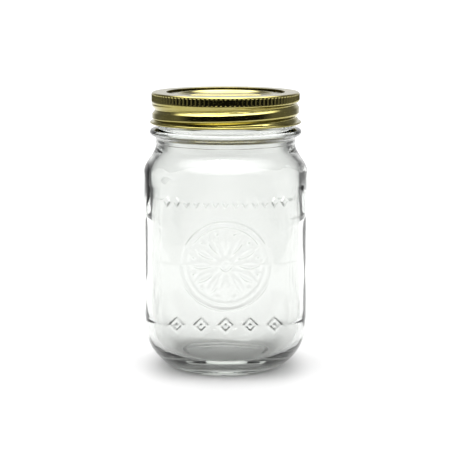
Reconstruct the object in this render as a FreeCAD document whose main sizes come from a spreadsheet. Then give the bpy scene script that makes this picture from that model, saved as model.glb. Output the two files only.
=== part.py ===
import FreeCAD, Part
import math
import os

import Sketcher

# A coin bank made from a square-shouldered screw-top glass jar. The jar stands on its base ring at z = 0 with
# its axis on +Z and its embossed front panel towards -Y. A stamped disc with a coin slot lies on the rim,
# with a moulded sealing ring under its edge, and a rolled sheet-metal band screws down over it.
# Every driving dimension is in millimetres, or a plain share or count where its name says so.
DIMENSIONS = {
    # glass: the square body and its foot
    "body_half_width": 40.0,
    "body_corner_radius": 19.0,
    "panel_bow_radius": 160.0,
    "wall_thickness": 3.0,
    "base_half_width": 27.5,
    "base_roundness_share": 0.97,
    "heel_height": 22.0,
    "heel_power": 2.2,
    "pushup_radius": 22.6,
    "pushup_depth": 2.4,
    "pushup_edge_width": 1.6,
    "pushup_edge_share": 0.55,
    # glass: the inside floor
    "floor_height": 5.2,
    "floor_half_width": 26.0,
    "floor_roundness_share": 0.9,
    "inner_heel_top": 21.0,
    "inner_heel_power": 2.3,
    # glass: the shoulder, from the straight walls to the round neck
    "rounding_start": 78.0,
    "rounding_end": 100.0,
    "shoulder_start": 96.0,
    "neck_height": 110.0,
    "neck_radius": 33.8,
    "neck_roundness_share": 0.97,
    "neck_seam_step": 0.15,
    "bore_radius": 30.1,
    # glass: the transfer bead and the threaded finish
    "bead_radius": 36.9,
    "bead_height": 115.6,
    "bead_thickness": 3.0,
    "bead_nose_depth": 1.2,
    "bead_nose_radius": 1.55,
    "bead_under_slope": 0.9,
    "bead_top_slope": 1.3,
    "finish_radius": 33.3,
    "rim_height": 133.5,
    "rim_rounding": 1.3,
    "thread_pitch": 6.35,
    "thread_crest_radius": 35.1,
    "thread_crest_width": 1.3,
    "thread_crest_rounding": 1.6,
    "thread_root_depth": 0.6,
    "thread_lift": 2.05,
    "thread_turns": 1.17,
    "flank_slope_share": 0.855,
    # glass: the moulded relief on the front panel
    "relief_height": 0.45,
    "emblem_height": 56.5,
    "emblem_radius": 22.0,
    "emblem_line_width": 1.1,
    "inner_ring_radius": 18.9,
    "petal_root": 5.0,
    "petal_tip": 16.6,
    "petal_width": 3.2,
    "petal_count": 12,
    "boss_radius": 3.0,
    "upper_row_height": 86.0,
    "upper_mark_width": 2.6,
    "upper_mark_height": 3.6,
    "upper_mark_count": 13,
    "upper_row_span": 55.0,
    "lower_row_height": 27.4,
    "lower_mark_width": 7.4,
    "lower_mark_height": 7.6,
    "lower_mark_line": 1.2,
    "lower_mark_count": 5,
    "lower_row_span": 46.0,
    # lid disc and its sealing ring
    "disc_top": 134.65,
    "disc_sheet": 0.22,
    "disc_radius": 34.4,
    "disc_skirt": 1.5,
    "disc_edge_radius": 0.7,
    "disc_rim_radius": 29.75,
    "step_radius": 29.25,
    "step_drop": 0.55,
    "sunk_edge_radius": 23.4,
    "sunk_radius": 22.0,
    "sunk_drop": 1.35,
    "slot_length": 36.0,
    "slot_width": 5.0,
    "slot_collar_depth": 1.1,
    "slot_collar_wall": 0.3,
    "seal_inner_radius": 30.4,
    "seal_outer_radius": 33.7,
    "seal_thickness": 0.88,
    "seal_edge_radius": 0.3,
    # screw band
    "band_top": 135.0,
    "band_height": 15.2,
    "band_radius": 36.0,
    "band_sheet": 0.3,
    "band_opening_radius": 28.8,
    "band_corner_radius": 0.9,
    "hem_width": 0.6,
    "hem_depth": 0.55,
    "groove_start_height": 120.1,
    "groove_depth": 1.52,
    "groove_floor_width": 0.6,
    "ridge_extra_width": 0.3,
    "groove_turns": 1.53,
    "curl_radius": 36.8,
    "curl_height": 1.2,
    "curl_root_depth": 1.0,
    "knurl_count": 104,
    "knurl_top": 134.0,
    "knurl_length": 3.5,
    "knurl_groove_width": 1.1,
    "knurl_groove_depth": 0.16,
}

THREAD_START_DEG = -130.0
GROOVE_START_DEG = -170.0
GROOVE_END_WALL_DEG = 0.6
HEEL_STEPS = 7
SHOULDER_STEPS = 13
OVERCUT = 6.0
GROOVE_OVERCUT = 1.0
LEANING_SHEET_SHARE = 0.35


class Size:
    """A length or share from the sheet, or a sum worked out from them: its number and its expression."""

    def __init__(self, value, text):
        self.value = float(value)
        self.text = text

    def __add__(self, other):
        other = as_size(other)
        return Size(self.value + other.value, f"({self.text} + {other.text})")

    def __radd__(self, other):
        return as_size(other) + self

    def __sub__(self, other):
        other = as_size(other)
        return Size(self.value - other.value, f"({self.text} - {other.text})")

    def __rsub__(self, other):
        return as_size(other) - self

    def __mul__(self, other):
        other = as_size(other)
        return Size(self.value * other.value, f"({self.text} * {other.text})")

    def __rmul__(self, other):
        return as_size(other) * self

    def __truediv__(self, other):
        other = as_size(other)
        return Size(self.value / other.value, f"({self.text} / {other.text})")

    def __rtruediv__(self, other):
        return as_size(other) / self

    def __neg__(self):
        return Size(0, "0") - self

    def power(self, other):
        other = as_size(other)
        return Size(self.value**other.value, f"pow({self.text}; {other.text})")


def as_size(number):
    """A plain number as a Size, or a Size as it is."""
    return number if isinstance(number, Size) else Size(number, repr(float(number)))


class Sizes:
    """The sheet's aliases as attributes, each a Size."""

    def __init__(self, sheet, dimensions):
        for alias, value in dimensions.items():
            setattr(self, alias, Size(value, f"{sheet.Name}.{alias}"))


def make_sheet(doc):
    """The spreadsheet that holds every driving dimension."""
    sheet = doc.addObject("Spreadsheet::Sheet", "Dimensions")
    for row, (alias, value) in enumerate(DIMENSIONS.items(), start=1):
        sheet.set(f"A{row}", alias)
        sheet.set(f"B{row}", str(value))
        sheet.setAlias(f"B{row}", alias)
    doc.recompute()
    return sheet


# ---------------------------------------------------------------- sketch helpers


def new_body(doc, label):
    body = doc.addObject("PartDesign::Body", label)
    body.Label = label
    return body


def new_sketch(body, name, role="XZ_Plane", height=None, turn_deg=0.0, along=None):
    """A sketch on one of the body's origin planes, raised by height or slid along its own Y."""
    sketch = body.newObject("Sketcher::SketchObject", name)
    plane = next(f for f in body.Origin.OriginFeatures if f.Role == role)
    sketch.AttachmentSupport = [(plane, "")]
    sketch.MapMode = "FlatFace"
    turn = FreeCAD.Rotation(FreeCAD.Vector(0, 1, 0), turn_deg)
    sketch.AttachmentOffset = FreeCAD.Placement(FreeCAD.Vector(0, 0, 0), turn)
    if height is not None:
        sketch.setExpression("AttachmentOffset.Base.z", height.text)
    if along is not None:
        sketch.setExpression("AttachmentOffset.Base.y", along.text)
    return sketch


def dimension(sketch, kind, size, *where):
    """A driven constraint of that kind, bound to the sheet."""
    index = sketch.addConstraint(Sketcher.Constraint(kind, *where, size.value))
    sketch.setExpression(f"Constraints[{index}]", size.text)


def pin_point(sketch, geo, end, x, y):
    """Fixes a point of the sketch at (x, y) from the sketch's origin."""
    for size, kind, axis in ((x, "DistanceX", -2), (y, "DistanceY", -1)):
        if size.value == 0 and size.text == "0.0":
            sketch.addConstraint(Sketcher.Constraint("PointOnObject", geo, end, axis))
        else:
            dimension(sketch, kind, size, -1, 1, geo, end)


def draw_outline(sketch, points):
    """A closed outline. Each point is (x, y) or (x, y, radius): the edge that leaves it is then an arc of
    that radius, which bulges to the right of the way it goes, or to the left when the radius is given as a
    pair (radius, "left"). An arc marked "half round" is a half circle on an upright chord."""
    corners = [tuple(as_size(v) for v in p[:2]) for p in points]
    count = len(points)
    for i, point in enumerate(points):
        (x0, y0), (x1, y1) = corners[i], corners[(i + 1) % count]
        start = FreeCAD.Vector(x0.value, y0.value, 0)
        end = FreeCAD.Vector(x1.value, y1.value, 0)
        if len(point) == 2:
            sketch.addGeometry(Part.LineSegment(start, end))
            continue
        chord = end - start
        half = chord.Length / 2
        radius, side = arc_kind(point[2])
        rise = half if radius is None else radius.value - math.sqrt(radius.value**2 - half**2)
        outward = FreeCAD.Vector(chord.y, -chord.x, 0).normalize()
        if side == "left":
            outward = -outward
        sketch.addGeometry(Part.Arc(start, (start + end) / 2 + outward * rise, end))
    ends = [edge_ends(sketch, i, corners[i]) for i in range(count)]
    for i in range(count):
        following = (i + 1) % count
        sketch.addConstraint(Sketcher.Constraint("Coincident", i, ends[i][1], following, ends[following][0]))
        pin_point(sketch, i, ends[i][0], *corners[i])
    for i, point in enumerate(points):
        if len(point) == 3:
            radius, _ = arc_kind(point[2])
            if radius is None:
                sketch.addConstraint(Sketcher.Constraint("Vertical", i, 1, i, 3))
            else:
                dimension(sketch, "Radius", radius, i)


def arc_kind(given):
    """An arc's radius, or None for a half circle, and the side it bulges to."""
    if given == "half round":
        return None, "right"
    radius, side = given if isinstance(given, tuple) else (given, "right")
    return as_size(radius), side


def edge_ends(sketch, geo, corner):
    """Which ends of an edge are its first and last point along the outline: an arc may be stored turned."""
    first = sketch.getPoint(geo, 1)
    near = abs(first.x - corner[0].value) + abs(first.y - corner[1].value) < 1e-6
    return (1, 2) if near else (2, 1)


def draw_circle(sketch, radius, x=0.0, y=0.0):
    x, y = as_size(x), as_size(y)
    centre = FreeCAD.Vector(x.value, y.value, 0)
    geo = sketch.addGeometry(Part.Circle(centre, FreeCAD.Vector(0, 0, 1), radius.value))
    pin_point(sketch, geo, 3, x, y)
    dimension(sketch, "Radius", radius, geo)


def draw_rounded_square(sketch, half_width, corner_radius, bow_radius):
    """Four bowed panels and four corner arcs, each tangent to the next."""
    w, r, bow = half_width.value, corner_radius.value, bow_radius.value
    reach = bow - w
    corner = (-reach + math.sqrt(2 * (bow - r) ** 2 - reach**2)) / 2
    swing = math.atan2(corner, corner + reach)
    normal = FreeCAD.Vector(0, 0, 1)
    for quarter in range(4):
        turn = quarter * math.pi / 2
        facing = FreeCAD.Vector(math.cos(turn), math.sin(turn), 0)
        panel = Part.Circle(facing * -reach, normal, bow)
        sketch.addGeometry(Part.ArcOfCircle(panel, turn - swing, turn + swing))
        diagonal = FreeCAD.Vector(math.cos(turn + math.pi / 4), math.sin(turn + math.pi / 4), 0)
        rounding = Part.Circle(diagonal * (corner * math.sqrt(2)), normal, r)
        sketch.addGeometry(Part.ArcOfCircle(rounding, turn + swing, turn + math.pi / 2 - swing))
    for geo in range(8):
        sketch.addConstraint(Sketcher.Constraint("Tangent", geo, 2, (geo + 1) % 8, 1))
        dimension(sketch, "Radius", bow_radius if geo % 2 == 0 else corner_radius, geo)
    behind = bow_radius - half_width
    for geo, along, across, sign in ((0, "DistanceX", -1, -1), (2, "DistanceY", -2, -1),
                                     (4, "DistanceX", -1, 1), (6, "DistanceY", -2, 1)):
        sketch.addConstraint(Sketcher.Constraint("PointOnObject", geo, 3, across))
        dimension(sketch, along, behind * sign, -1, 1, geo, 3)


# ---------------------------------------------------------------- feature helpers


def revolve(body, sketch, kind="Revolution"):
    feature = body.newObject(f"PartDesign::{kind}", f"{sketch.Name}_{kind}")
    feature.Profile = sketch
    feature.ReferenceAxis = (sketch, ["V_Axis"])
    feature.Angle = 360
    return feature


def pad(body, sketch, length, reverse=False):
    feature = body.newObject("PartDesign::Pad", f"{sketch.Name}_Pad")
    feature.Profile = sketch
    feature.Reversed = reverse
    feature.setExpression("Length", as_size(length).text)
    return feature


def cut_through(body, sketch):
    """A pocket through everything, both ways from its sketch."""
    feature = body.newObject("PartDesign::Pocket", f"{sketch.Name}_Pocket")
    feature.Profile = sketch
    feature.Type = "ThroughAll"
    feature.Midplane = True
    return feature


def helix(body, sketch, kind, pitch, turns):
    """A right-hand helical rib or groove that climbs from its sketch."""
    feature = body.newObject(f"PartDesign::{kind}", f"{sketch.Name}_{kind}")
    feature.Profile = sketch
    feature.ReferenceAxis = (sketch, ["V_Axis"])
    feature.Mode = "pitch-turns-angle"
    feature.LeftHanded = False
    feature.Reversed = False
    feature.setExpression("Pitch", pitch.text)
    feature.setExpression("Turns", turns.text)
    return feature


def boolean(doc, kind, label, base, tool):
    """Part::Cut, Part::Fuse or Part::Common of two objects."""
    made = doc.addObject(f"Part::{kind}", label)
    made.Label = label
    made.Base = base
    made.Tool = tool
    return made


# ---------------------------------------------------------------- glass jar


def smooth_step(share):
    """Rises from 0 to 1 with a level start and end."""
    return share * share * (3 - 2 * share)


def blown_section(body, d, height, half_width, roundness, grow):
    """One level of the blown wall: roundness 0 is the square body's own corner, and 1 is a circle. Grow moves
    the whole line outward."""
    corner = (1 - roundness) * (d.body_corner_radius + grow) + roundness * half_width
    bow = 1 / ((1 - roundness) / (d.panel_bow_radius + grow) + roundness / half_width)
    sketch = new_sketch(body, "section", "XY_Plane", height=height)
    draw_rounded_square(sketch, half_width, corner, bow)
    return sketch


def loft(body, sections):
    feature = body.newObject("PartDesign::AdditiveLoft", f"{body.Name}_Loft")
    feature.Profile = sections[0]
    feature.Sections = sections[1:]
    feature.Ruled = False
    return feature


def shoulder_sections(body, d, body_half, neck_half, grow):
    """The levels from the top of the straight walls to the round neck."""
    sections = []
    for step in range(SHOULDER_STEPS + 1):
        share = step / SHOULDER_STEPS
        height = d.rounding_start + (d.neck_height - d.rounding_start) * share
        rounding = (height - d.rounding_start) / (d.rounding_end - d.rounding_start)
        roundness = d.neck_roundness_share * (1 if rounding.value >= 1 else smooth_step(rounding))
        narrowing = (height - d.shoulder_start) / (d.neck_height - d.shoulder_start)
        if narrowing.value <= 0:
            half_width = body_half
        else:
            half_width = body_half - (body_half - neck_half) * smooth_step(narrowing)
        sections.append(blown_section(body, d, height, half_width, roundness, grow))
    return sections


def heel_sections(body, d, foot, top, foot_half, body_half, foot_roundness, power, grow):
    """The levels from the foot up the curved heel to the straight walls."""
    sections = []
    for step in range(HEEL_STEPS + 1):
        share = step / HEEL_STEPS
        height = foot + (top - foot) * share
        left = 1 - share
        half_width = body_half - (body_half - foot_half) * as_size(left).power(power)
        roundness = foot_roundness * left
        sections.append(blown_section(body, d, height, half_width, roundness, grow))
    return sections


def straight_sections(body, d, low, high, half_width, grow, count=3):
    """Levels that keep the walls straight between the heel and the shoulder."""
    sections = []
    for step in range(1, count + 1):
        height = low + (high - low) * (step / (count + 1))
        sections.append(blown_section(body, d, height, half_width, as_size(0), grow))
    return sections


def outer_loft(body, d, grow):
    """The outside of the blown body, foot to neck, moved outward by grow."""
    body_half = d.body_half_width + grow
    low = heel_sections(body, d, as_size(0.0), d.heel_height, d.base_half_width + grow, body_half,
                        d.base_roundness_share, d.heel_power, grow)
    middle = straight_sections(body, d, d.heel_height, d.rounding_start, body_half, grow)
    high = shoulder_sections(body, d, body_half, d.neck_radius + grow, grow)
    return loft(body, low + middle + high)


def finish_outline(sketch, d):
    """The neck, the transfer bead and the finish as half a section."""
    half_bead = d.bead_thickness / 2
    bead_root = d.bead_radius - d.bead_nose_depth
    draw_outline(sketch, [
        (0.0, d.neck_height),
        (d.neck_radius + d.neck_seam_step, d.neck_height),
        (d.neck_radius + d.neck_seam_step, d.bead_height - half_bead - d.bead_under_slope),
        (bead_root, d.bead_height - half_bead, d.bead_nose_radius),
        (bead_root, d.bead_height + half_bead),
        (d.finish_radius, d.bead_height + half_bead + d.bead_top_slope),
        (d.finish_radius, d.rim_height - d.rim_rounding, d.rim_rounding),
        (d.finish_radius - d.rim_rounding, d.rim_height),
        (0.0, d.rim_height),
    ])


def pushup_outline(sketch, d):
    """The hollow under the base: a steep edge, then a shallow cone up to a flat centre."""
    edge_top = d.pushup_depth * d.pushup_edge_share
    below = d.pushup_edge_width / edge_top
    draw_outline(sketch, [
        (0.0, -1.0),
        (d.pushup_radius + below, -1.0),
        (d.pushup_radius - d.pushup_edge_width, edge_top),
        (d.pushup_radius / 3, d.pushup_depth),
        (0.0, d.pushup_depth),
    ])


def thread_outline(sketch, d):
    """The glass thread's own section, rooted inside the finish wall."""
    climbed = d.thread_pitch * ((THREAD_START_DEG - GROOVE_START_DEG) / 360)
    start = d.groove_start_height + d.thread_lift + climbed
    root = d.finish_radius - d.thread_root_depth
    crest = d.thread_crest_width / 2
    foot = crest + (d.thread_crest_radius - root) * d.flank_slope_share
    draw_outline(sketch, [
        (root, start - foot),
        (d.thread_crest_radius, start - crest, d.thread_crest_rounding),
        (d.thread_crest_radius, start + crest),
        (root, start + foot),
    ])


def jar_outside(doc, d):
    """The jar's outside as a solid block of glass."""
    body = new_body(doc, "jar_outside")
    outer_loft(body, d, as_size(0.0))
    neck = new_sketch(body, "neck_and_finish")
    finish_outline(neck, d)
    revolve(body, neck)
    hollow = new_sketch(body, "base_pushup")
    pushup_outline(hollow, d)
    revolve(body, hollow, "Groove")
    thread = new_sketch(body, "glass_thread", turn_deg=THREAD_START_DEG)
    thread_outline(thread, d)
    helix(body, thread, "AdditiveHelix", d.thread_pitch, d.thread_turns)
    return body


def jar_cavity(doc, d):
    """The space inside the jar, from the floor to past the rim."""
    body = new_body(doc, "jar_cavity")
    inward = -d.wall_thickness
    body_half = d.body_half_width + inward
    low = heel_sections(body, d, d.floor_height, d.inner_heel_top, d.floor_half_width, body_half,
                        d.floor_roundness_share, d.inner_heel_power, inward)
    middle = straight_sections(body, d, d.inner_heel_top, d.rounding_start, body_half, inward)
    high = shoulder_sections(body, d, body_half, d.bore_radius - d.neck_seam_step, inward)
    loft(body, low + middle + high)
    bore = new_sketch(body, "mouth_bore", "XY_Plane", height=d.neck_height)
    draw_circle(bore, d.bore_radius)
    pad(body, bore, d.rim_height - d.neck_height + OVERCUT)
    return body


def draw_lozenge(sketch, width, height, x):
    draw_outline(sketch, [(x - width / 2, 0.0), (x, -height / 2), (x + width / 2, 0.0), (x, height / 2)])


def relief_pads(doc, d):
    """Bars that stand out of the front panel; relief_limit trims them to the relief's height."""
    body = new_body(doc, "relief_pads")
    length = d.body_half_width + OVERCUT

    rings = new_sketch(body, "emblem_rings", along=d.emblem_height)
    for radius in (d.emblem_radius, d.emblem_radius - d.emblem_line_width,
                   d.inner_ring_radius, d.inner_ring_radius - d.emblem_line_width * 0.8, d.boss_radius):
        draw_circle(rings, radius)
    pad(body, rings, length)

    petals = new_sketch(body, "emblem_petals", along=d.emblem_height)
    petal_length = d.petal_tip - d.petal_root
    bulge = (petal_length * petal_length / 4 + d.petal_width * d.petal_width / 4) / d.petal_width
    draw_outline(petals, [(0.0, d.petal_root, bulge), (0.0, d.petal_tip, bulge)])
    petal_pad = pad(body, petals, length)
    doc.recompute()
    ring_of_petals = body.newObject("PartDesign::PolarPattern", "ring_of_petals")
    ring_of_petals.Originals = [petal_pad]
    ring_of_petals.Axis = (petals, ["N_Axis"])
    ring_of_petals.setExpression("Occurrences", d.petal_count.text)
    body.Tip = ring_of_petals

    for name, row, width, height, span, count, line in (
        ("upper_mark", d.upper_row_height, d.upper_mark_width, d.upper_mark_height, d.upper_row_span,
         d.upper_mark_count, None),
        ("lower_mark", d.lower_row_height, d.lower_mark_width, d.lower_mark_height, d.lower_row_span,
         d.lower_mark_count, d.lower_mark_line),
    ):
        mark = new_sketch(body, name, along=row)
        first = -(span / 2)
        draw_lozenge(mark, width, height, first)
        if line is not None:
            draw_lozenge_hole(mark, width - line * 2, height - line * 2, first)
        mark_pad = pad(body, mark, length)
        doc.recompute()
        pattern = body.newObject("PartDesign::LinearPattern", f"{name}_row")
        pattern.Originals = [mark_pad]
        pattern.Direction = (mark, ["H_Axis"])
        pattern.setExpression("Length", span.text)
        pattern.setExpression("Occurrences", count.text)
        body.Tip = pattern
    return body


def draw_lozenge_hole(sketch, width, height, x):
    """The inner outline of a lozenge frame, drawn after the outer one."""
    first = sketch.GeometryCount
    level = as_size(0.0)
    corners = [(x - width / 2, level), (x, -height / 2), (x + width / 2, level), (x, height / 2)]
    for i in range(4):
        (x0, y0), (x1, y1) = corners[i], corners[(i + 1) % 4]
        sketch.addGeometry(Part.LineSegment(FreeCAD.Vector(x0.value, y0.value, 0),
                                            FreeCAD.Vector(x1.value, y1.value, 0)))
    for i in range(4):
        sketch.addConstraint(Sketcher.Constraint("Coincident", first + i, 2, first + (i + 1) % 4, 1))
        pin_point(sketch, first + i, 1, *corners[i])


def glass_jar(doc, d):
    limit = new_body(doc, "relief_limit")
    outer_loft(limit, d, d.relief_height)
    relief = boolean(doc, "Common", "front_relief", relief_pads(doc, d), limit)
    block = boolean(doc, "Fuse", "jar_block", jar_outside(doc, d), relief)
    return boolean(doc, "Cut", "glass_jar", block, jar_cavity(doc, d))


# ---------------------------------------------------------------- lid disc and sealing ring


def lid_disc(doc, d):
    """The stamped disc: a skirt, a rim over the sealing ring, and a stepped panel with the coin slot."""
    body = new_body(doc, "slotted_lid_disc")
    sheet = d.disc_sheet
    top = d.disc_top
    floor = top - d.step_drop
    centre = top - d.sunk_drop
    lean = sheet * LEANING_SHEET_SHARE
    edge = d.disc_edge_radius
    section = new_sketch(body, "disc_section")
    draw_outline(section, [
        (0.0, centre - sheet),
        (d.sunk_radius - lean, centre - sheet),
        (d.sunk_edge_radius - lean, floor - sheet),
        (d.step_radius + lean, floor - sheet),
        (d.disc_rim_radius + lean, top - sheet),
        (d.disc_radius - edge, top - sheet, (edge - sheet, "left")),
        (d.disc_radius - sheet, top - edge),
        (d.disc_radius - sheet, top - d.disc_skirt),
        (d.disc_radius, top - d.disc_skirt),
        (d.disc_radius, top - edge, edge),
        (d.disc_radius - edge, top),
        (d.disc_rim_radius, top),
        (d.step_radius, floor),
        (d.sunk_edge_radius, floor),
        (d.sunk_radius, centre),
        (0.0, centre),
    ])
    revolve(body, section)
    collar = new_sketch(body, "slot_collar", "XY_Plane", height=centre - sheet / 2)
    draw_slot(collar, d.slot_length + d.slot_collar_wall * 2, d.slot_width + d.slot_collar_wall * 2)
    pad(body, collar, d.slot_collar_depth, reverse=True)
    slot = new_sketch(body, "coin_slot", "XY_Plane", height=centre)
    draw_slot(slot, d.slot_length, d.slot_width)
    cut_through(body, slot)
    return body


def draw_slot(sketch, length, width):
    """A slot with round ends, along X."""
    half = width / 2
    reach = length / 2 - half
    draw_outline(sketch, [
        (-reach, -half),
        (reach, -half, "half round"),
        (reach, half),
        (-reach, half, "half round"),
    ])


def sealing_ring(doc, d):
    body = new_body(doc, "sealing_ring")
    section = new_sketch(body, "seal_section")
    under_disc = d.disc_top - d.disc_sheet
    low = under_disc - d.seal_thickness
    edge = d.seal_edge_radius
    draw_outline(section, [
        (d.seal_inner_radius, low + edge, edge),
        (d.seal_inner_radius + edge, low),
        (d.seal_outer_radius - edge, low, edge),
        (d.seal_outer_radius, low + edge),
        (d.seal_outer_radius, under_disc),
        (d.seal_inner_radius, under_disc),
    ])
    revolve(body, section)
    return body


# ---------------------------------------------------------------- screw band


def groove_outline(sketch, d, height, wall_radius, floor_radius, floor_width):
    """The rolled thread's section, open to the outside."""
    past = wall_radius + GROOVE_OVERCUT
    floor = floor_width / 2
    mouth = floor + (past - floor_radius) * d.flank_slope_share
    draw_outline(sketch, [
        (floor_radius, height - floor),
        (past, height - mouth),
        (past, height + mouth),
        (floor_radius, height + floor),
    ])


def band_outside(doc, d):
    """The band's outside as a solid: plain wall, rounded top corner, rolled thread and bottom curl."""
    body = new_body(doc, "band_outside")
    bottom = d.band_top - d.band_height
    wall = new_sketch(body, "outer_wall")
    draw_outline(wall, [
        (0.0, bottom),
        (d.band_radius, bottom),
        (d.band_radius, d.band_top - d.band_corner_radius, d.band_corner_radius),
        (d.band_radius - d.band_corner_radius, d.band_top),
        (0.0, d.band_top),
    ])
    revolve(body, wall)
    groove = new_sketch(body, "rolled_groove", turn_deg=GROOVE_START_DEG)
    groove_outline(groove, d, d.groove_start_height, d.band_radius, d.band_radius - d.groove_depth,
                   d.groove_floor_width)
    helix(body, groove, "SubtractiveHelix", d.thread_pitch, d.groove_turns)
    curl = new_sketch(body, "bottom_curl")
    inner = d.band_radius - d.curl_root_depth
    draw_outline(curl, [
        (inner, bottom),
        (d.curl_radius - d.curl_height / 2, bottom, "half round"),
        (d.curl_radius - d.curl_height / 2, bottom + d.curl_height),
        (inner, bottom + d.curl_height + d.curl_height / 2),
    ])
    revolve(body, curl)
    return body


def band_inside(doc, d):
    """The space inside the band, one sheet's thickness in from its outside."""
    body = new_body(doc, "band_inside")
    bottom = d.band_top - d.band_height
    inner_radius = d.band_radius - d.band_sheet
    under = d.band_top - d.band_sheet
    corner = d.band_corner_radius - d.band_sheet
    room = new_sketch(body, "inner_room")
    draw_outline(room, [
        (0.0, bottom - OVERCUT),
        (inner_radius, bottom - OVERCUT),
        (inner_radius, under - corner, corner),
        (inner_radius - corner, under),
        (d.band_opening_radius + d.hem_width, under),
        (d.band_opening_radius + d.hem_width, d.band_top - d.hem_depth),
        (d.band_opening_radius, d.band_top - d.hem_depth),
        (d.band_opening_radius, d.band_top + OVERCUT),
        (0.0, d.band_top + OVERCUT),
    ])
    revolve(body, room)
    ridge = new_sketch(body, "rolled_ridge", turn_deg=GROOVE_START_DEG - GROOVE_END_WALL_DEG)
    start = d.groove_start_height - d.thread_pitch * (GROOVE_END_WALL_DEG / 360)
    ridge_width = d.groove_floor_width + d.ridge_extra_width
    groove_outline(ridge, d, start, inner_radius, inner_radius - d.groove_depth, ridge_width)
    helix(body, ridge, "SubtractiveHelix", d.thread_pitch, d.groove_turns + 2 * GROOVE_END_WALL_DEG / 360)
    return body


def knurl_tools(doc, d):
    """One upright rod for each groove of the knurl, which bites into the band's wall."""
    count = int(d.knurl_count.value)
    half = d.knurl_groove_width.value / 2
    depth = d.knurl_groove_depth.value
    rod_radius = (half**2 + depth**2) / (2 * depth)
    rod_centre = d.band_radius.value - depth + rod_radius
    base = d.knurl_top.value - d.knurl_length.value
    rods = []
    for i in range(count):
        angle = 2 * math.pi * i / count
        foot = FreeCAD.Vector(rod_centre * math.cos(angle), rod_centre * math.sin(angle), base)
        rods.append(Part.makeCylinder(rod_radius, d.knurl_length.value, foot))
    tools = doc.addObject("Part::Feature", "knurl_tools")
    tools.Shape = Part.makeCompound(rods)
    return tools


def screw_band(doc, d):
    shell = boolean(doc, "Cut", "band_shell", band_outside(doc, d), band_inside(doc, d))
    return boolean(doc, "Cut", "screw_band", shell, knurl_tools(doc, d))


# ---------------------------------------------------------------- document and export


def check(doc, nodes):
    """Stops on a failed feature or a bad solid, and prints each node's volume."""
    bad = [o.Label for o in doc.Objects if "Invalid" in o.State or "Error" in o.State]
    if bad:
        raise SystemExit(f"failed features: {bad}")
    for node in nodes:
        shape = node.Shape
        if shape.isNull() or not shape.isValid():
            raise SystemExit(f"{node.Label} has no valid shape")
        box = shape.BoundBox
        print(f"{node.Label}: {len(shape.Solids)} solid(s), {shape.Volume:.1f} mm3, "
              f"x {box.XMin:.2f}..{box.XMax:.2f}, y {box.YMin:.2f}..{box.YMax:.2f}, "
              f"z {box.ZMin:.2f}..{box.ZMax:.2f}")


def main():
    doc = FreeCAD.newDocument("coin_bank_jar")
    d = Sizes(make_sheet(doc), DIMENSIONS)
    nodes = [glass_jar(doc, d), lid_disc(doc, d), sealing_ring(doc, d), screw_band(doc, d)]
    doc.recompute()
    check(doc, nodes)
    os.makedirs("parts", exist_ok=True)
    for node in nodes:
        node.Shape.exportStep(f"parts/{node.Label}.step")


main()
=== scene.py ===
"""Looks for the coin bank jar: a clear glass jar with a slotted disc and a gold-lacquered screw band.

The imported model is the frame: every size below that the frame knows is read from it, and the rest are the
shapes' own dimensions in metres.
"""
import math

import bpy
import numpy as np
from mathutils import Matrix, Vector


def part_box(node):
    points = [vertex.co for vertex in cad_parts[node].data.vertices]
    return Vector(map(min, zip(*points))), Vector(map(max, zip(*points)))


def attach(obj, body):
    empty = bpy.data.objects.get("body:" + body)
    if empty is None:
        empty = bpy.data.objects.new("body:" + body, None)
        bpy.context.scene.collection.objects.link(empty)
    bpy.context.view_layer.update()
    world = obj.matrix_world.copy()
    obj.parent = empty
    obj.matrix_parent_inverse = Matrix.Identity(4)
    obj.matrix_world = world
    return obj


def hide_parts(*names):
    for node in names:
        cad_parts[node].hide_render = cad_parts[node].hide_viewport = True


MM = 0.001
PITCH = 6.35 * MM

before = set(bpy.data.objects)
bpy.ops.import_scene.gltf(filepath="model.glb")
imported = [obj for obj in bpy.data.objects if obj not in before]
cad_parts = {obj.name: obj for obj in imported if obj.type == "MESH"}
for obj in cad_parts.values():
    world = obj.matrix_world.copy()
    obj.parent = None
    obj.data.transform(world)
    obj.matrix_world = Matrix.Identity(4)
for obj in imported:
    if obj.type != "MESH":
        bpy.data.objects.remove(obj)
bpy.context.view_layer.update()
jar_low, jar_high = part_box("glass_jar")
band_low, band_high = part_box("screw_band")
disc_low, disc_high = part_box("slotted_lid_disc")
scene = bpy.context.scene


# ---------------------------------------------------------------- camera and view


def make_camera():
    """The camera stands a little above the lid and looks down at the jar's middle."""
    data = bpy.data.cameras.new("camera")
    data.lens = 140
    data.sensor_width = 36
    data.clip_end = 100
    camera = bpy.data.objects.new("camera", data)
    camera.location = (-0.3 * MM, -0.85, 0.2009)
    aim = Vector((-0.3 * MM, 0, 69.4 * MM))
    camera.rotation_euler = (aim - camera.location).to_track_quat("-Z", "Y").to_euler()
    scene.collection.objects.link(camera)
    scene.camera = camera


make_camera()
scene.view_settings.view_transform = "Standard"
scene.cycles.transmission_bounces = 24
scene.cycles.glossy_bounces = 8
scene.cycles.max_bounces = 32


# ---------------------------------------------------------------- shape helpers


def smooth(value, low, high):
    """Rises from 0 at low to 1 at high with level ends; falls when high is under low."""
    share = np.clip((value - low) / (high - low), 0, 1)
    return share * share * (3 - 2 * share)


def arc(centre_r, centre_z, radius, start_deg, end_deg, steps):
    """Points (r, z) along an arc, both ends counted. Degrees are from outward, anticlockwise."""
    turns = np.radians(np.linspace(start_deg, end_deg, steps))
    return [(centre_r + radius * math.cos(t), centre_z + radius * math.sin(t)) for t in turns]


def line(start, end, steps):
    """Points (r, z) from start to end, without the last one."""
    return [(start[0] + (end[0] - start[0]) * k / steps, start[1] + (end[1] - start[1]) * k / steps)
            for k in range(steps)]


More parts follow.
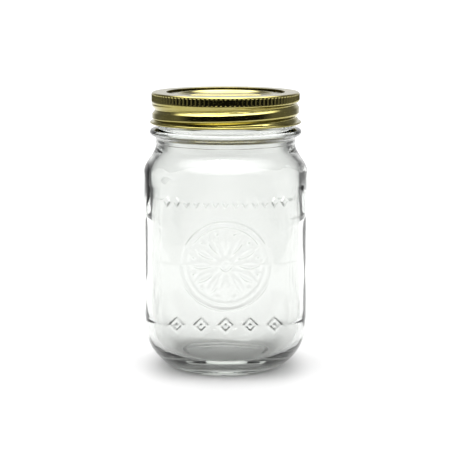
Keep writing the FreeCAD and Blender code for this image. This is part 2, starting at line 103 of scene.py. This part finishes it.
def grid_object(name, points, closed_path, poles=(None, None)):
    """A mesh from points[ring, column, xyz]. The rings are closed, and either the path across them closes too
    or each of its ends is drawn together to a pole."""
    rings, columns = points.shape[:2]
    vertices = points.reshape(-1, 3)
    index = np.arange(rings * columns).reshape(rings, columns)
    following = index if closed_path else index[:-1]
    above = np.roll(index, -1, axis=0)[:len(following)]
    corners = [following, np.roll(following, -1, axis=1), np.roll(above, -1, axis=1), above]
    faces = np.stack(corners, axis=-1).reshape(-1, 4).tolist()
    extra = []
    for pole, ring, flip in ((poles[0], index[0], True), (poles[1], index[-1], False)):
        if pole is None:
            continue
        tip = len(vertices) + len(extra)
        extra.append(pole)
        after = np.roll(ring, -1)
        faces += [(a, tip, b) if flip else (a, b, tip) for a, b in zip(ring.tolist(), after.tolist())]
    if extra:
        vertices = np.vstack([vertices, np.array(extra)])
    mesh = bpy.data.meshes.new(name)
    mesh.from_pydata(vertices.tolist(), [], faces)
    mesh.polygons.foreach_set("use_smooth", np.ones(len(faces), bool))
    mesh.update()
    piece = bpy.data.objects.new(name, mesh)
    scene.collection.objects.link(piece)
    return piece


def spiral_height(angle, start_deg, start_z, turns):
    """For each column angle, the heights of a right-hand spiral's passes there, with each pass's fade at the
    spiral's ends: a list of (height, fade) arrays."""
    passes = []
    for turn in range(-1, 3):
        along = np.degrees(angle) + 360 * turn - start_deg
        fade = smooth(along, 0, 22) * smooth(turns * 360 - along, 0, 22)
        passes.append((start_z + PITCH * along / 360, fade))
    return passes


def round_points(radius, angle, z):
    """Points from a radius for each ring and column, the columns' angles and the rings' heights."""
    upright = np.broadcast_to(z[:, None], radius.shape)
    return np.stack([radius * np.cos(angle), radius * np.sin(angle), upright], -1)


# ---------------------------------------------------------------- glass jar

BODY_HALF = jar_high.x
PANEL_BOW_R = 160 * MM
BODY_CORNER_R = 19 * MM
RIM_Z = jar_high.z
NECK_Z = RIM_Z - 23.5 * MM
SHOULDER_Z = RIM_Z - 37.5 * MM
ROUNDING_Z = (RIM_Z - 55.5 * MM, RIM_Z - 33.5 * MM)
BEAD_Z = RIM_Z - 17.9 * MM
BEAD_R = 36.9 * MM
FINISH_R = 33.3 * MM
NECK_R = 33.8 * MM
BORE_R = 30.1 * MM
RIM_ROUNDING = 1.3 * MM
BORE_ROUNDING = 1.0 * MM
BEAD_ROUNDING = 1.62 * MM
BEAD_FILLET = 0.9 * MM
HEEL_Z = 27 * MM
FOOT_R = 27.5 * MM
FOOT_TUCK = 0.9 * MM
PUSHUP_DEPTH = 2.4 * MM
PUSHUP_FLAT_R = 7.6 * MM
PUSHUP_R = 20.6 * MM
WALL = 3 * MM
INNER_HEEL_Z = 28 * MM
INNER_FOOT_R = 26 * MM
FLOOR_Z = 5.2 * MM
THREAD_HEIGHT = 1.8 * MM
THREAD_START = (-130, RIM_Z - 10.64 * MM)
THREAD_TURNS = 1.17
RELIEF = 0.45 * MM
EMBLEM_Z = 56.5 * MM
UPPER_ROW_Z = 86 * MM
UPPER_ROW_MARKS = 13
UPPER_ROW_WIDTH = 55 * MM
UPPER_MARK_SIZE = (2.9 * MM, 4.4 * MM)
LOWER_ROW_Z = 27.4 * MM
LOWER_ROW_MARKS = 5
LOWER_ROW_WIDTH = 46 * MM
LOWER_MARK_SIZE = (7.6 * MM, 7.8 * MM)

# Each ring of the rosette has a radius, half its width and its share of the relief's height.
ROSETTE_RINGS = ((21.45 * MM, 0.55 * MM, 1.0), (18.4 * MM, 0.42 * MM, 0.8))
PETALS = 12
PETAL_START = 4.6 * MM
PETAL_LENGTH = 12 * MM
PETAL_HALF = 1.75 * MM
PEARL_RING_R = 15.6 * MM
PEARL_R = 0.75 * MM
BUTTON_R = 2.9 * MM

# Stretches of the jar's height with the number of rings on each: from, to, rings.
OUTER_STRETCHES = ((0, 3.4 * MM, 12), (3.4 * MM, 22 * MM, 26), (22 * MM, 92 * MM, 130),
                   (92 * MM, 110 * MM, 24))
INNER_STRETCHES = ((110 * MM, 90 * MM, 16), (90 * MM, 28 * MM, 17), (28 * MM, 5.6 * MM, 22))

# The inside's slow waves: height, how many go round, rise for each radian, and start.
RIPPLES = ((0.09 * MM, 3, 11 * MM, 0.6), (0.07 * MM, 5, -7.3 * MM, 2.1), (0.05 * MM, 9, 4.9 * MM, 0),
           (0.04 * MM, 14, -8.3 * MM, 1.3))


def square_radius(angle, half, roundness, grow):
    """The blown body's radius at each angle: a bowed square with round corners, or a circle at roundness 1.
    grow moves its outline out."""
    corner = (1 - roundness) * (BODY_CORNER_R + grow) + roundness * half
    bow = 1 / ((1 - roundness) / (PANEL_BOW_R + grow) + roundness / half)
    reach = bow - half
    centre = (-reach + np.sqrt(np.maximum(2 * (bow - corner) ** 2 - reach**2, 0))) / 2
    folded = np.abs((angle + np.pi / 4) % (np.pi / 2) - np.pi / 4)
    swing = np.arctan2(centre, centre + reach)
    edge = np.arctan2(bow * np.sin(swing), bow * np.cos(swing) - reach)
    panel = -reach * np.cos(folded) + np.sqrt(bow**2 - (reach * np.sin(folded)) ** 2)
    across = centre * (np.cos(folded) - np.sin(folded))
    rounded = centre * (np.cos(folded) + np.sin(folded)) + np.sqrt(np.maximum(corner**2 - across**2, 0))
    return np.where(folded <= edge, panel, rounded)


def body_section(z, body_half, neck_half, foot_half, foot_z, heel_z, foot_roundness, power):
    """Half width and roundness of the blown wall at height z."""
    left = np.clip((heel_z - z) / (heel_z - foot_z), 0, 1)
    half = body_half - (body_half - foot_half) * left**power
    half = half - (body_half - neck_half) * smooth(z, SHOULDER_Z, NECK_Z)
    roundness = foot_roundness * left + 0.97 * smooth(z, *ROUNDING_Z)
    return half, roundness


def raised(inside, edge=0.22 * MM):
    """1 well inside a relief shape and 0 outside, with a soft moulded edge. inside is a depth in metres."""
    return smooth(inside, -edge, edge)


def lozenge(x, z, centre, width, height):
    """How deep each point is inside a lozenge."""
    share = 1 - np.abs(x - centre) / (width / 2) - np.abs(z) / (height / 2)
    return share * width * height / (2 * math.hypot(width, height))


def rosette(x, up):
    """Two rings round twelve petals, with a pearl between each two petals and a button in the middle."""
    far = np.hypot(x, up)
    turn = np.arctan2(x, up)
    step = 2 * np.pi / PETALS
    height = np.zeros_like(far)
    for radius, half_width, share in ROSETTE_RINGS:
        height = np.maximum(height, share * raised(half_width - np.abs(far - radius)))
    from_petal = (turn + step / 2) % step - step / 2
    along = np.clip((far * np.cos(from_petal) - PETAL_START) / PETAL_LENGTH, 0, 1)
    aside = np.abs(far * np.sin(from_petal))
    half = PETAL_HALF * np.sin(np.pi * along**1.25)
    vein = 0.55 + 0.45 * smooth(aside, 0.1 * MM, 1.2 * MM)
    height = np.maximum(height, raised(half - aside) * vein * smooth(along, 0, 0.08))
    from_pearl = turn % step - step / 2
    pearl = np.hypot(far * np.cos(from_pearl) - PEARL_RING_R, far * np.sin(from_pearl))
    height = np.maximum(height, 0.8 * raised(PEARL_R - pearl))
    dimple = 0.6 + 0.4 * np.cos(far / BUTTON_R * np.pi) ** 2
    return np.maximum(height, raised(BUTTON_R - far) * dimple)


def row_centres(marks, width):
    """Where a row's marks stand, evenly spaced. The width is between the outermost two."""
    return [(mark / (marks - 1) - 0.5) * width for mark in range(marks)]


def relief(x, z):
    """Height of the moulded relief on the front panel, as a share: the rosette and two rows of lozenges."""
    height = rosette(x, z - EMBLEM_Z)
    for centre in row_centres(UPPER_ROW_MARKS, UPPER_ROW_WIDTH):
        deep = lozenge(x, z - UPPER_ROW_Z, centre, *UPPER_MARK_SIZE)
        height = np.maximum(height, 0.8 * raised(deep, 0.18 * MM))
    for centre in row_centres(LOWER_ROW_MARKS, LOWER_ROW_WIDTH):
        deep = lozenge(x, z - LOWER_ROW_Z, centre, *LOWER_MARK_SIZE)
        height = np.maximum(height, raised(0.55 * MM - np.abs(deep - 0.6 * MM)))
        height = np.maximum(height, raised(0.8 * MM - np.hypot(x - centre, z - LOWER_ROW_Z)))
    return height


def column_angles(total=272, fine=168):
    """Column angles, closer together across the front panel, where the relief is."""
    front = np.radians(np.linspace(-135, -45, fine, endpoint=False))
    rest = np.radians(np.linspace(-45, 225, total - fine, endpoint=False))
    return np.concatenate([front, rest])


def ring_heights(stretches):
    """Heights of the rings along the stretches. Only the last stretch keeps its end."""
    parts = [np.linspace(start, end, rings, endpoint=False) for start, end, rings in stretches[:-1]]
    return np.concatenate([*parts, np.linspace(*stretches[-1])])


def foot_path():
    """The push-up under the base and the flat that the jar stands on, from the middle out."""
    flat_edge = (PUSHUP_FLAT_R, PUSHUP_DEPTH)
    path = line((0.4 * MM, PUSHUP_DEPTH), flat_edge, 3)
    path += line(flat_edge, (PUSHUP_R, 1.35 * MM), 8)
    path += arc(PUSHUP_R, 0.55 * MM, 0.8 * MM, 88, 40, 4)
    path += arc(23.1 * MM, 1.0 * MM, 1.0 * MM, 215, 270, 5)
    path += line((23.8 * MM, 0), (26.6 * MM, 0), 4)
    return path


def finish_path():
    """The neck, the transfer bead, the finish and the rounded rim, up and over to the bore."""
    neck_top = (NECK_R + 0.2 * MM, BEAD_Z - 2.6 * MM)
    path = [(NECK_R + 0.05 * MM, NECK_Z + 0.3 * MM), (NECK_R + 0.15 * MM, NECK_Z + 0.5 * MM)]
    path += line((NECK_R + 0.15 * MM, NECK_Z + 1.2 * MM), neck_top, 4)
    path += arc(BEAD_R - BEAD_ROUNDING, BEAD_Z, BEAD_ROUNDING, -82, 82, 17)
    path += arc(FINISH_R + BEAD_FILLET, BEAD_Z + 2.9 * MM, BEAD_FILLET, 235, 180, 5)
    path += line((FINISH_R, BEAD_Z + 3.2 * MM), (FINISH_R, RIM_Z - 1.4 * MM), 36)
    path += arc(FINISH_R - RIM_ROUNDING, RIM_Z - RIM_ROUNDING, RIM_ROUNDING, 0, 90, 8)
    path += arc(BORE_R + BORE_ROUNDING, RIM_Z - BORE_ROUNDING, BORE_ROUNDING, 90, 180, 7)
    return path


def outer_path():
    """Rings of the jar's outside, from the base's middle out, up and over the rim: half width, roundness and
    height of each."""
    rings = [(r, 1.0, z) for r, z in foot_path()]
    for z in ring_heights(OUTER_STRETCHES):
        half, roundness = body_section(z, BODY_HALF, NECK_R, FOOT_R, 0, HEEL_Z,
                                       foot_roundness=0.97, power=3.0)
        tuck = FOOT_TUCK * (1 - smooth(z, 0, 2.2 * MM)) ** 2
        rings.append((half - tuck, roundness, z))
    return rings + [(r, 1.0, z) for r, z in finish_path()]


def inner_path():
    """Rings of the jar's inside, from the bore down to the floor's middle."""
    bore = line((BORE_R, RIM_Z - 2.4 * MM), (BORE_R, NECK_Z + 1.5 * MM), 7)
    rings = [(r, 1.0, z) for r, z in bore]
    body_half = BODY_HALF - WALL
    for z in ring_heights(INNER_STRETCHES):
        half, roundness = body_section(z, body_half, BORE_R, INNER_FOOT_R, FLOOR_Z, INNER_HEEL_Z,
                                       foot_roundness=0.9, power=3.6)
        rings.append((half, roundness, z))
    floor_edge = rings[-1][0]
    for share in (0.93, 0.8, 0.6, 0.4, 0.2, 0.03):
        rings.append((floor_edge * share, 1.0, FLOOR_Z + (0.35 - 0.3 * share) * MM))
    return rings


def add_relief(radius, angle, z, outside):
    """Raises the relief on the outside of the front panel."""
    rows = outside & (z > 21 * MM) & (z < 93 * MM)
    front = angle < np.radians(-45)
    patch = np.ix_(rows, front)
    turn = (angle[front] + np.pi / 2)[None, :]
    across = radius[patch] * np.sin(turn)
    radius[patch] += RELIEF * relief(across, z[rows][:, None]) / np.cos(turn)


def add_thread(radius, angle, z, outside):
    """Raises the screw thread on the finish."""
    finish = outside & (z > BEAD_Z + 3 * MM) & (z < RIM_Z - 1.35 * MM)
    for height, fade in spiral_height(angle, *THREAD_START, THREAD_TURNS):
        near = np.abs(z[finish][:, None] - height[None, :])
        radius[finish] += THREAD_HEIGHT * fade[None, :] * smooth(near, 1.95 * MM, 0.55 * MM)


def add_ripples(radius, angle, z, outside):
    """Gives the blown inside its slow unevenness, which dies away towards the heel and the neck."""
    inside = ~outside & (z > 14 * MM) & (z < NECK_Z - 6 * MM)
    up = z[inside][:, None]
    level = smooth(up, 14 * MM, 26 * MM) * smooth(up, NECK_Z - 6 * MM, NECK_Z - 16 * MM)
    for height, waves, rise, start in RIPPLES:
        radius[inside] += level * height * np.sin(waves * angle[None, :] + up / rise + start)


def make_jar():
    """The glass in one closed skin: the outside up to the rim, then the inside down to the floor."""
    angle = column_angles()
    outer, inner = outer_path(), inner_path()
    half, roundness, z = (np.array(column)[:, None] for column in zip(*(outer + inner)))
    outside = np.arange(len(z)) < len(outer)
    grow = np.where(outside, 0.0, -WALL)[:, None]
    radius = square_radius(angle[None, :], half, np.minimum(roundness, 0.9999), grow)
    z = z[:, 0]
    add_relief(radius, angle, z, outside)
    add_thread(radius, angle, z, outside)
    add_ripples(radius, angle, z, outside)
    piece = grid_object("jar_glass", round_points(radius, angle, z), False, ((0, 0, z[0]), (0, 0, z[-1])))
    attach(piece, "jar")
    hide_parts("glass_jar")
    return piece


# ---------------------------------------------------------------- screw band

BAND_R = 36 * MM
SHEET = 0.3 * MM
KNURLS = 104
KNURL_COLUMNS = 8
KNURL_Z = (band_high.z - 4.6 * MM, band_high.z - 1.0 * MM)
KNURL_DEPTH = 0.36 * MM
UNDER_KNURL_STEP = 0.28 * MM
OPENING_R = 28.8 * MM
CORNER_ROUNDING = 1.1 * MM
CURL_R = band_high.x
CURL_ROUNDING = 0.55 * MM
GROOVE_START = (-170, band_low.z + 0.3 * MM)
GROOVE_TURNS = 1.53
GROOVE_DEPTH = 1.3 * MM
GROOVE_UPPER_FLANK = 2.1 * MM
GROOVE_LOWER_FLANK = 1.75 * MM
WAIST_DEPTH = 0.7 * MM


def band_path():
    """The band's section as a closed path: hem, flange, corner, wall, curl, then back up the inside. Each
    point is (radius, height, share of the knurl, share of the rolled thread)."""
    top, low = band_high.z, band_low.z
    corner_r, corner_z = BAND_R - CORNER_ROUNDING, top - CORNER_ROUNDING
    hem = [(OPENING_R + 0.4 * MM, top - 0.54 * MM), (OPENING_R + 0.1 * MM, top - 0.53 * MM)]
    hem += line((OPENING_R, top - 0.45 * MM), (OPENING_R, top - 0.15 * MM), 2)
    hem += arc(OPENING_R + 0.12 * MM, top - 0.12 * MM, 0.12 * MM, 180, 90, 4)
    flange = line((OPENING_R + 0.7 * MM, top - 0.02 * MM), (BAND_R - 1.5 * MM, top), 5)
    corner = arc(corner_r, corner_z, CORNER_ROUNDING, 90, 0, 9)
    wall_top, wall_low = top - 1.15 * MM, low + 1.65 * MM
    wall = line((BAND_R, wall_top), (BAND_R, wall_low), 44)
    flare = arc(BAND_R + 0.3 * MM, low + 1.55 * MM, 0.3 * MM, 180, 262, 4)
    curl = arc(CURL_R - CURL_ROUNDING, low + CURL_ROUNDING, CURL_ROUNDING, 80, -180, 14)
    curl += [(BAND_R - SHEET, low + 0.9 * MM)]
    inside = line((BAND_R - SHEET, wall_low), (BAND_R - SHEET, wall_top), 20)
    inside += arc(corner_r, corner_z, CORNER_ROUNDING - SHEET, 0, 90, 5)
    inside += line((BAND_R - 1.5 * MM, top - SHEET), (OPENING_R + 0.75 * MM, top - SHEET), 3)
    inside += [(OPENING_R + 0.7 * MM, top - 0.5 * MM)]
    rows = [(r, z, 0, 0) for r, z in hem + flange]
    rows += [(r, z, 1, 0) for r, z in corner]
    rows += [(r, z, 1, 1) for r, z in wall + flare]
    rows += [(r, z, 0, 0) for r, z in curl]
    rows += [(r, z, 1, 1) for r, z in inside]
    return np.array(rows)


def flank(away, width):
    """A rolled groove's side: 1 at the bottom, falling to 0 over its width, steepest halfway up."""
    share = np.clip(away / width, 0, 1)
    return 1 - np.clip(0.72 * share + 0.28 * share * share * (3 - 2 * share), 0, 1)


def make_band():
    """The screw band in one closed skin, with its knurl, its rolled thread and the waist above the curl."""
    columns = KNURLS * KNURL_COLUMNS
    angle = np.linspace(-np.pi, np.pi, columns, endpoint=False)
    rows = band_path()
    radius = np.repeat(rows[:, :1], columns, axis=1)
    z = rows[:, 1]
    in_knurl, in_thread = rows[:, 2], rows[:, 3]
    knurl_low, knurl_high = KNURL_Z
    fade_low = smooth(z, knurl_low, knurl_low + 0.8 * MM)
    fade_high = smooth(z, knurl_high + 0.6 * MM, knurl_high - 0.3 * MM)
    flute = KNURL_DEPTH * (0.5 + 0.5 * np.cos(KNURLS * angle)) ** 0.5
    radius -= (in_knurl * fade_low * fade_high)[:, None] * flute[None, :]
    below_knurl = smooth(z, knurl_low + 0.1 * MM, knurl_low - 0.9 * MM)
    radius -= UNDER_KNURL_STEP * (in_thread * below_knurl)[:, None]
    pressed = np.zeros_like(radius)
    for height, fade in spiral_height(angle, *GROOVE_START, GROOVE_TURNS):
        above = z[:, None] - height[None, :]
        shape = np.where(above > 0, flank(above, GROOVE_UPPER_FLANK), flank(-above, GROOVE_LOWER_FLANK))
        pressed = np.maximum(pressed, fade[None, :] * shape)
    waist = WAIST_DEPTH * smooth(z, band_low.z + 2.7 * MM, band_low.z + 1.7 * MM)[:, None]
    radius -= np.maximum(GROOVE_DEPTH * pressed, waist) * in_thread[:, None]
    piece = grid_object("screw_band_metal", round_points(radius, angle, z)[::-1], True)
    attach(piece, "band")
    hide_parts("screw_band")
    return piece


# ---------------------------------------------------------------- slotted disc

DISC_R = disc_high.x
DISC_SHEET = 0.22 * MM
DISC_ROUNDING = 0.7 * MM
STEP_DROP = 0.55 * MM
SUNK_DROP = 1.35 * MM
SUNK_R = 22 * MM
SUNK_EDGE_R = 23.4 * MM
SLOT_HALF = (18 * MM, 2.5 * MM)
SLOT_FAN = 4.2


def slot_outline(columns, grow):
    """Points round the coin slot, which has round ends, made larger all round by grow."""
    half_length, half_width = SLOT_HALF[0] + grow, SLOT_HALF[1] + grow
    reach = half_length - half_width
    straight = columns // 3
    turning = (columns - 2 * straight) // 2
    points = []
    for side in (1, -1):
        for k in range(straight):
            points.append((side * reach * (1 - 2 * k / straight), side * half_width))
        for k in range(turning):
            turn = math.pi / 2 + math.pi * k / turning
            points.append((side * (-reach + half_width * math.cos(turn)), side * half_width * math.sin(turn)))
    return np.array(points)


def make_disc():
    """The stamped disc: from the slot's collar out over the panel and the rim, round the skirt and back."""
    top = disc_high.z
    sheet = DISC_SHEET
    centre = top - SUNK_DROP
    floor = top - STEP_DROP
    columns = 288
    inner_edge = slot_outline(columns, 0.0)
    outer_edge = slot_outline(columns, 0.3 * MM)
    # Each column leaves the slot's edge at the angle it would have if the slot were SLOT_FAN times as wide.
    aim = np.arctan2(inner_edge[:, 1] * SLOT_FAN, inner_edge[:, 0])
    circle = np.stack([np.cos(aim), np.sin(aim)], -1)

    def flat_ring(outline, z):
        return np.column_stack([outline, np.full(columns, z)])

    def between_ring(edge, share, z):
        return flat_ring(edge * (1 - share) + circle * SUNK_R * share, z)

    rings = [flat_ring(outer_edge, disc_low.z + 0.06 * MM), flat_ring(inner_edge, disc_low.z),
             flat_ring(inner_edge, centre - 0.35 * MM)]
    for share, drop in ((0.012, 0.16 * MM), (0.03, 0.05 * MM), (0.055, 0.0)):
        rings.append(between_ring(inner_edge, share, centre - drop))
    for share in (0.12, 0.25, 0.4, 0.55, 0.7, 0.85, 1.0):
        rings.append(between_ring(inner_edge, share, centre))
    edge_r, edge_z = DISC_R - DISC_ROUNDING, top - DISC_ROUNDING
    upper = arc(SUNK_R, centre + 0.5 * MM, 0.5 * MM, 270, 300, 5)
    upper += arc(SUNK_EDGE_R, floor - 0.5 * MM, 0.5 * MM, 120, 90, 5)
    upper += line((24 * MM, floor), (29 * MM, floor), 4)
    upper += [(29.22 * MM, floor + 0.04 * MM), (29.32 * MM, floor + 0.14 * MM), (29.62 * MM, top - 0.13 * MM),
              (29.74 * MM, top - 0.03 * MM), (29.95 * MM, top)]
    upper += line((30.6 * MM, top), (DISC_R - 0.9 * MM, top), 4)
    upper += arc(edge_r, edge_z, DISC_ROUNDING, 90, 0, 7)
    upper += [(DISC_R, top - 1.2 * MM), (DISC_R, top - 1.44 * MM), (DISC_R - 0.1 * MM, top - 1.5 * MM),
              (DISC_R - sheet, top - 1.44 * MM), (DISC_R - sheet, top - 1.0 * MM)]
    under = arc(edge_r, edge_z, DISC_ROUNDING - sheet, 0, 90, 4)
    under += [(30.0 * MM, top - sheet), (29.8 * MM, top - sheet - 0.03 * MM), (29.35 * MM, floor - sheet),
              (SUNK_EDGE_R, floor - sheet), (22.1 * MM, centre - sheet), (SUNK_R, centre - sheet)]
    rings += [flat_ring(circle * r, z) for r, z in upper + under]
    for share in (0.7, 0.4, 0.12, 0.02):
        rings.append(between_ring(outer_edge, share, centre - sheet))
    rings.append(flat_ring(outer_edge, centre - sheet - 0.1 * MM))
    piece = grid_object("lid_disc_metal", np.array(rings)[::-1], True)
    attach(piece, "lid")
    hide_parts("slotted_lid_disc")
    return piece


# ---------------------------------------------------------------- materials


def new_material(name):
    """A material with its node tree and its main shader."""
    material = bpy.data.materials.new(name)
    material.use_nodes = True
    tree = material.node_tree
    shader = next(n for n in tree.nodes if n.type == "BSDF_PRINCIPLED")
    return material, tree, shader


def put(tree, kind, **values):
    """A node with its properties and sockets set: names with a capital are sockets."""
    node = tree.nodes.new(kind)
    for name, value in values.items():
        if name[0].isupper():
            node.inputs[name.replace("_", " ")].default_value = value
        else:
            setattr(node, name, value)
    return node


def object_noise(tree, scale, detail=4.0, squash=(1, 1, 1)):
    """Noise laid in the object's own coordinates."""
    place = put(tree, "ShaderNodeTexCoord")
    mapping = put(tree, "ShaderNodeMapping")
    mapping.inputs["Scale"].default_value = squash
    noise = put(tree, "ShaderNodeTexNoise", Scale=scale, Detail=detail)
    tree.links.new(place.outputs["Object"], mapping.inputs["Vector"])
    tree.links.new(mapping.outputs["Vector"], noise.inputs["Vector"])
    return noise


def ramp(tree, source, low, high):
    """Maps a noise, which mostly stays between 0.3 and 0.7, onto a range."""
    node = put(tree, "ShaderNodeMapRange", From_Min=0.3, From_Max=0.7, To_Min=low, To_Max=high)
    tree.links.new(source, node.inputs["Value"])
    return node.outputs["Result"]


def bump(tree, shader, source, strength, distance):
    """Roughens the shader's surface with a height."""
    node = put(tree, "ShaderNodeBump", Strength=strength, Distance=distance)
    tree.links.new(source, node.inputs["Height"])
    tree.links.new(node.outputs["Normal"], shader.inputs["Normal"])


def glass_material():
    """Clear flint glass with a fire-polished skin and a faint grey-green body."""
    material, tree, shader = new_material("clear_glass")
    shader.inputs["Base Color"].default_value = (0.83, 0.84, 0.828, 1)
    shader.inputs["Transmission Weight"].default_value = 1.0
    shader.inputs["Roughness"].default_value = 0.0
    shader.inputs["IOR"].default_value = 1.51
    skin = object_noise(tree, 60, 2.0)
    bump(tree, shader, skin.outputs["Fac"], 0.12, 0.4 * MM)
    body = put(tree, "ShaderNodeVolumeAbsorption", Color=(0.80, 0.86, 0.80, 1), Density=9.0)
    output = next(n for n in tree.nodes if n.type == "OUTPUT_MATERIAL")
    tree.links.new(body.outputs["Volume"], output.inputs["Volume"])
    return material


def lacquer_material(name, colour_low, colour_high, roughness):
    """Tinplate under gold lacquer: unevenly coloured, with a fine grain in its shine."""
    material, tree, shader = new_material(name)
    shader.inputs["Metallic"].default_value = 1.0
    cloud = object_noise(tree, 90, 3.0)
    mix = put(tree, "ShaderNodeMix", data_type="RGBA")
    mix.inputs["A"].default_value = (*colour_low, 1)
    mix.inputs["B"].default_value = (*colour_high, 1)
    tree.links.new(ramp(tree, cloud.outputs["Fac"], 0, 1), mix.inputs["Factor"])
    tree.links.new(mix.outputs["Result"], shader.inputs["Base Color"])
    grain = object_noise(tree, 700, 4.0, (1, 1, 2.5))
    dullness = ramp(tree, grain.outputs["Fac"], roughness * 0.75, roughness * 1.4)
    tree.links.new(dullness, shader.inputs["Roughness"])
    bump(tree, shader, grain.outputs["Fac"], 0.05, 0.02 * MM)
    shader.inputs["Coat Weight"].default_value = 0.12
    shader.inputs["Coat Roughness"].default_value = 0.12
    return material


def compound_material():
    """Brown sealing compound, faintly mottled."""
    material, tree, shader = new_material("sealing_compound")
    cloud = object_noise(tree, 400, 4.0)
    mix = put(tree, "ShaderNodeMix", data_type="RGBA")
    mix.inputs["A"].default_value = (0.09, 0.035, 0.02, 1)
    mix.inputs["B"].default_value = (0.17, 0.07, 0.04, 1)
    tree.links.new(ramp(tree, cloud.outputs["Fac"], 0, 1), mix.inputs["Factor"])
    tree.links.new(mix.outputs["Result"], shader.inputs["Base Color"])
    tree.links.new(ramp(tree, cloud.outputs["Fac"], 0.42, 0.62), shader.inputs["Roughness"])
    bump(tree, shader, cloud.outputs["Fac"], 0.2, 0.05 * MM)
    return material


# ---------------------------------------------------------------- studio

WORLD_LIGHT = 1.22
TABLE_R = 0.64
TABLE_CENTRE_Y = 0.3


def make_floor():
    """A pale round table, most of it behind the jar."""
    mesh = bpy.data.meshes.new("floor")
    turns = np.radians(np.linspace(0, 360, 96, endpoint=False))
    edge = [(TABLE_R * math.cos(t), TABLE_CENTRE_Y + TABLE_R * math.sin(t), 0) for t in turns]
    mesh.from_pydata(edge, [], [range(len(edge))])
    floor = bpy.data.objects.new("floor", mesh)
    floor.location.z = jar_low.z
    scene.collection.objects.link(floor)
    material, _, shader = new_material("floor_paper")
    shader.inputs["Base Color"].default_value = (0.93, 0.93, 0.93, 1)
    shader.inputs["Roughness"].default_value = 0.6
    mesh.materials.append(material)


def level(tree, source, low, high, at_low, at_high):
    """A smooth change from at_low to at_high as the source goes from low to high."""
    node = put(tree, "ShaderNodeMapRange", interpolation_type="SMOOTHSTEP", From_Min=low, From_Max=high,
               To_Min=at_low, To_Max=at_high)
    tree.links.new(source, node.inputs["Value"])
    return node.outputs["Result"]


def combine(tree, operation, first, second):
    """One Math node on two outputs."""
    node = put(tree, "ShaderNodeMath", operation=operation)
    tree.links.new(first, node.inputs[0])
    tree.links.new(second, node.inputs[1])
    return node.outputs["Value"]


def choose(tree, flag, without, chosen):
    """The chosen output where the flag is set, and the other elsewhere."""
    node = put(tree, "ShaderNodeMix", data_type="FLOAT")
    tree.links.new(flag, node.inputs["Factor"])
    tree.links.new(without, node.inputs["A"])
    tree.links.new(chosen, node.inputs["B"])
    return node.outputs["Result"]


def metal_shine(tree, deep, high):
    """What the metal mirrors: dark in front, grey at the sides, lighter behind, and a bright ceiling with a
    narrow strip high in front. deep runs from -1 in front to 1 behind, and high from -1 below to 1 above."""
    sides = level(tree, deep, -0.6, -0.1, 0.01, 0.22)
    back = level(tree, deep, 0.75, 0.97, 0.0, 0.6)
    ceiling = level(tree, high, 0.6, 0.85, 0.0, 6.0)
    shine = combine(tree, "MAXIMUM", combine(tree, "ADD", sides, back), ceiling)
    strip_low = level(tree, high, 0.79, 0.8, 0.0, 1.0)
    strip_high = level(tree, high, 0.82, 0.83, 14.0, 0.0)
    in_front = level(tree, deep, -0.52, -0.46, 1.0, 0.0)
    strip = combine(tree, "MULTIPLY", combine(tree, "MULTIPLY", strip_low, strip_high), in_front)
    return combine(tree, "ADD", shine, strip)


def glass_surroundings(tree, wide, deep, high):
    """What bends through the glass: four pale walls, darker towards their corners and a little upwards."""
    corner = put(tree, "ShaderNodeMath", operation="ABSOLUTE")
    tree.links.new(combine(tree, "MULTIPLY", wide, deep), corner.inputs[0])
    walls = level(tree, corner.outputs["Value"], 0.12, 0.42, 1.2, 0.2)
    return combine(tree, "SUBTRACT", walls, level(tree, high, 0.1, 0.5, 0.0, 0.2))


def make_world():
    """Soft white light and a white backdrop, with other surroundings for the metal and for the glass."""
    world = bpy.data.worlds.new("studio")
    scene.world = world
    world.use_nodes = True
    world.cycles.sampling_method = "NONE"
    tree = world.node_tree
    background = next(n for n in tree.nodes if n.type == "BACKGROUND")
    path = put(tree, "ShaderNodeLightPath")
    place = put(tree, "ShaderNodeTexCoord")
    split = put(tree, "ShaderNodeSeparateXYZ")
    tree.links.new(place.outputs["Generated"], split.inputs["Vector"])
    wide, deep, high = (split.outputs[axis] for axis in "XYZ")
    light = put(tree, "ShaderNodeValue")
    light.outputs["Value"].default_value = WORLD_LIGHT
    seen = choose(tree, path.outputs["Is Glossy Ray"], light.outputs["Value"], metal_shine(tree, deep, high))
    pale = glass_surroundings(tree, wide, deep, high)
    seen = choose(tree, path.outputs["Is Transmission Ray"], seen, pale)
    white = combine(tree, "MAXIMUM", seen, path.outputs["Is Camera Ray"])
    tree.links.new(white, background.inputs["Strength"])
    background.inputs["Color"].default_value = (1, 1, 1, 1)


def make_lamp(name, place, target, size, power):
    """A rectangular lamp that lights the scene but isn't mirrored by it."""
    data = bpy.data.lights.new(name, "AREA")
    data.shape = "RECTANGLE"
    data.size, data.size_y = size
    data.energy = power
    lamp = bpy.data.objects.new(name, data)
    lamp.location = place
    lamp.rotation_euler = (Vector(target) - lamp.location).to_track_quat("-Z", "Y").to_euler()
    lamp.visible_glossy = False
    scene.collection.objects.link(lamp)


glass = make_jar()
glass.data.materials.append(glass_material())
band = make_band()
band_lacquer = lacquer_material("gold_lacquer_band", (0.33, 0.29, 0.085), (0.42, 0.37, 0.13), 0.13)
band.data.materials.append(band_lacquer)
disc = make_disc()
disc_lacquer = lacquer_material("gold_lacquer_disc", (0.33, 0.29, 0.09), (0.42, 0.37, 0.14), 0.11)
disc.data.materials.append(disc_lacquer)
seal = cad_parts["sealing_ring"]
seal.data.materials.clear()
seal.data.materials.append(compound_material())

make_floor()
make_world()
make_lamp("overhead_softbox", (-0.1, 0.1, 1.1), (0, 0, 0.08), (1.4, 1.2), 4)
